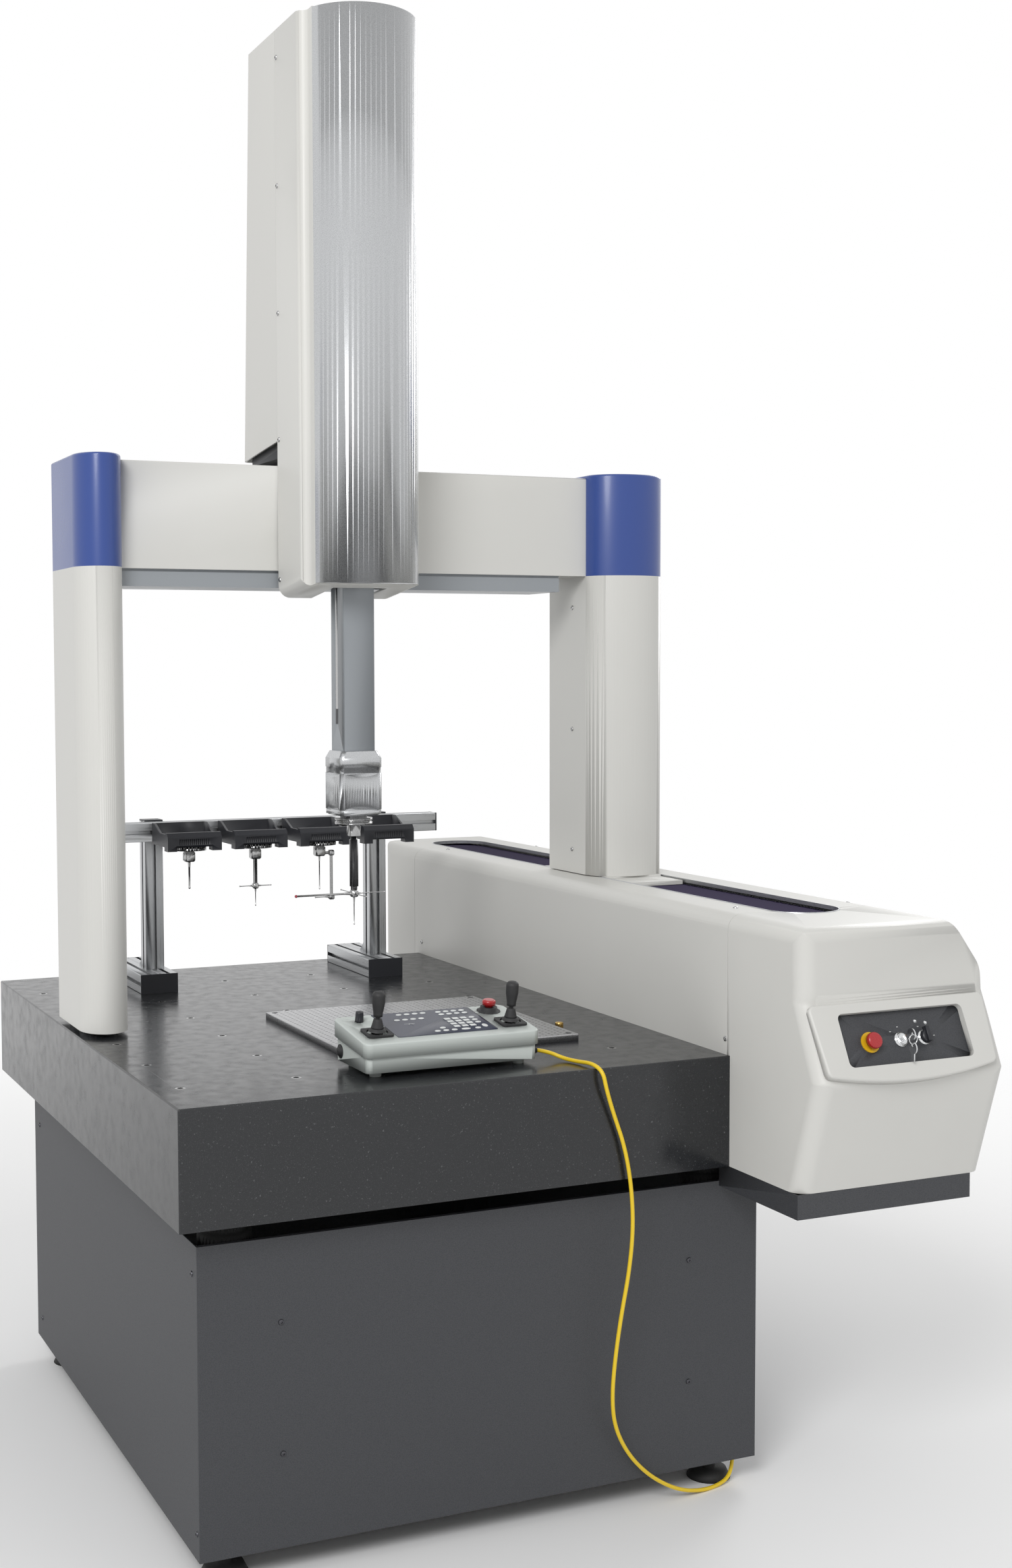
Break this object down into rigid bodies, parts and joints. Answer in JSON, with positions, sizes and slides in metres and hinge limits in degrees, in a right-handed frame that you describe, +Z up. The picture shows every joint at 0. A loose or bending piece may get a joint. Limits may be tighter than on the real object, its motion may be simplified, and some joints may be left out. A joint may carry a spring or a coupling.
{
  "type": "coordinate measuring machine",
  "caption": "Bridge-type coordinate measuring machine: granite table on a panelled stand, sliding bridge with tall ram and probe, stylus rack and joystick console.",
  "frame": {"origin": "Centre of the machine's footprint at floor level, without the cable.", "axes": "X is along the bridge, Y goes from the operator's side to the back, Z is up."},
  "size_m": [1.384, 1.907, 2.682],
  "materials": {
    "anthracite_paint": "matte",
    "frame_paint": "satin",
    "granite": "satin",
    "steel": "satin",
    "brass": "polished",
    "cover_white": "satin",
    "cap_blue": "satin",
    "silver_paint": "satin",
    "rail_grey": "satin",
    "aluminium": "satin",
    "chrome": "polished",
    "rubber_black": "matte",
    "bellows_fabric": "matte",
    "black_plastic": "matte",
    "console_plastic": "matte",
    "foil": "satin",
    "red_plastic": "gloss",
    "yellow_plastic": "satin"
  },
  "bodies": {
    "base": {"stand_frame": "frame_paint", "levelling_feet": "rubber_black", "front_panel": "anthracite_paint", "side_panels": "anthracite_paint", "granite_table": "granite", "table_inserts": "steel", "y_guide_beam": "granite", "y_drive_bar": "steel", "guide_cover": "cover_white", "guide_front_cover": "cover_white", "guide_rear_cover": "cover_white", "guide_skirt": "anthracite_paint", "slot_trim": "aluminium", "front_bellows": "bellows_fabric", "rear_bellows": "bellows_fabric", "control_bezel": "cover_white", "control_panel": "anthracite_paint", "switch_collars": "chrome", "rack_frame": "aluminium", "stylus_holders": "black_plastic", "parked_styli": "steel", "fixture_plate": "aluminium", "fixture_screw": "brass", "console_base": "console_plastic", "console_shell": "console_plastic", "console_keypad": "foil", "console_fittings": "black_plastic", "console_cable": "yellow_plastic"},
    "bridge": {"left_column": "cover_white", "right_column": "cover_white", "column_caps": "cap_blue", "bridge_beam": "cover_white", "beam_rail": "rail_grey", "bridge_feet": "aluminium", "guide_bearings": "aluminium", "y_drive_motor": "black_plastic"},
    "carriage": {"z_front_cover": "cover_white", "z_silver_cover": "silver_paint", "z_rear_cover": "cover_white", "carriage_frame": "aluminium", "carriage_bearings": "aluminium", "carriage_motors": "black_plastic"},
    "ram": {"ram": "rail_grey", "ram_scale": "steel", "probe_head": "silver_paint", "probe_adapter": "steel", "stylus_system": "steel"},
    "y_roller": {"y_roller": "steel"},
    "x_roller": {"x_roller": "steel"},
    "z_roller": {"z_roller": "steel"},
    "panel_estop_button": {"panel_estop_button": "red_plastic"},
    "switch_key": {"switch_key": "chrome"},
    "spare_key": {"spare_key": "chrome"},
    "rotary_lever": {"rotary_lever": "black_plastic"},
    "left_stick_gimbal": {"left_stick_gimbal": "steel"},
    "left_stick": {"left_stick": "black_plastic"},
    "right_stick_gimbal": {"right_stick_gimbal": "steel"},
    "right_stick": {"right_stick": "black_plastic"},
    "console_knob": {"console_knob": "black_plastic"},
    "console_estop_button": {"console_estop_button": "red_plastic"}
  },
  "joints": [
    {"name": "bridge_slide", "type": "slide", "parent": "base", "child": "bridge", "axis": [0, 1, 0], "range_m": [-0.5, 0.29], "deforming": ["front_bellows", "rear_bellows"]},
    {"name": "carriage_slide", "type": "slide", "parent": "bridge", "child": "carriage", "axis": [1, 0, 0], "range_m": [-0.304, 0.396]},
    {"name": "ram_slide", "type": "slide", "parent": "carriage", "child": "ram", "axis": [0, 0, 1], "range_m": [-0.17, 0.28]},
    {"name": "y_roller_turn", "type": "hinge", "parent": "bridge", "child": "y_roller", "pos_m": [0.57805, 0.0505, 0.898], "axis": [0, 0, 1], "range_deg": [-2100, 2100]},
    {"name": "x_roller_turn", "type": "hinge", "parent": "carriage", "child": "x_roller", "pos_m": [-0.1635, 0.17355, 1.645], "axis": [0, 0, 1], "range_deg": [-800, 800]},
    {"name": "z_roller_turn", "type": "hinge", "parent": "carriage", "child": "z_roller", "pos_m": [-0.11745, -0.0805, 1.98], "axis": [0, 1, 0], "range_deg": [-1200, 1200]},
    {"name": "panel_estop_press", "type": "slide", "parent": "base", "child": "panel_estop_button", "axis": [0, 0.8988, -0.4384], "range_m": [0, 0.004], "stiffness_N_per_m": 1500},
    {"name": "key_turn", "type": "hinge", "parent": "base", "child": "switch_key", "pos_m": [0.484, -0.91025, 0.8574], "axis": [0, 0.8988, -0.4384], "range_deg": [0, 90]},
    {"name": "spare_key_swing", "type": "hinge", "parent": "switch_key", "child": "spare_key", "pos_m": [0.484, -0.94351, 0.87192], "axis": [1, 0, 0], "range_deg": [-30, 0]},
    {"name": "rotary_turn", "type": "hinge", "parent": "base", "child": "rotary_lever", "pos_m": [0.532, -0.91025, 0.8574], "axis": [0, 0.8988, -0.4384], "range_deg": [0, 90]},
    {"name": "console_knob_turn", "type": "hinge", "parent": "base", "child": "console_knob", "pos_m": [-0.312, -0.4725, 0.87541], "axis": [0, -0.1355, 0.9908], "range_deg": [-135, 135]},
    {"name": "console_estop_press", "type": "slide", "parent": "base", "child": "console_estop_button", "axis": [0, 0.1355, -0.9908], "range_m": [0, 0.003], "stiffness_N_per_m": 1500},
    {"name": "left_stick_tilt_y", "type": "hinge", "parent": "base", "child": "left_stick_gimbal", "pos_m": [-0.3075, -0.54096, 0.86201], "axis": [1, 0, 0], "range_deg": [-18, 18], "stiffness_Nm_per_rad": 1},
    {"name": "left_stick_tilt_x", "type": "hinge", "parent": "left_stick_gimbal", "child": "left_stick", "pos_m": [-0.3075, -0.54096, 0.86201], "axis": [0, 0.9908, 0.1355], "range_deg": [-18, 18], "stiffness_Nm_per_rad": 1},
    {"name": "right_stick_tilt_y", "type": "hinge", "parent": "base", "child": "right_stick_gimbal", "pos_m": [-0.058, -0.54096, 0.86201], "axis": [1, 0, 0], "range_deg": [-18, 18], "stiffness_Nm_per_rad": 1},
    {"name": "right_stick_tilt_x", "type": "hinge", "parent": "right_stick_gimbal", "child": "right_stick", "pos_m": [-0.058, -0.54096, 0.86201], "axis": [0, 0.9908, 0.1355], "range_deg": [-18, 18], "stiffness_Nm_per_rad": 1}
  ],
  "couplings": [
    {"joint": "y_roller_turn", "follows": "bridge_slide", "rad_per_m": 71.429},
    {"joint": "x_roller_turn", "follows": "carriage_slide", "rad_per_m": -33.333},
    {"joint": "z_roller_turn", "follows": "ram_slide", "rad_per_m": 71.429}
  ]
}
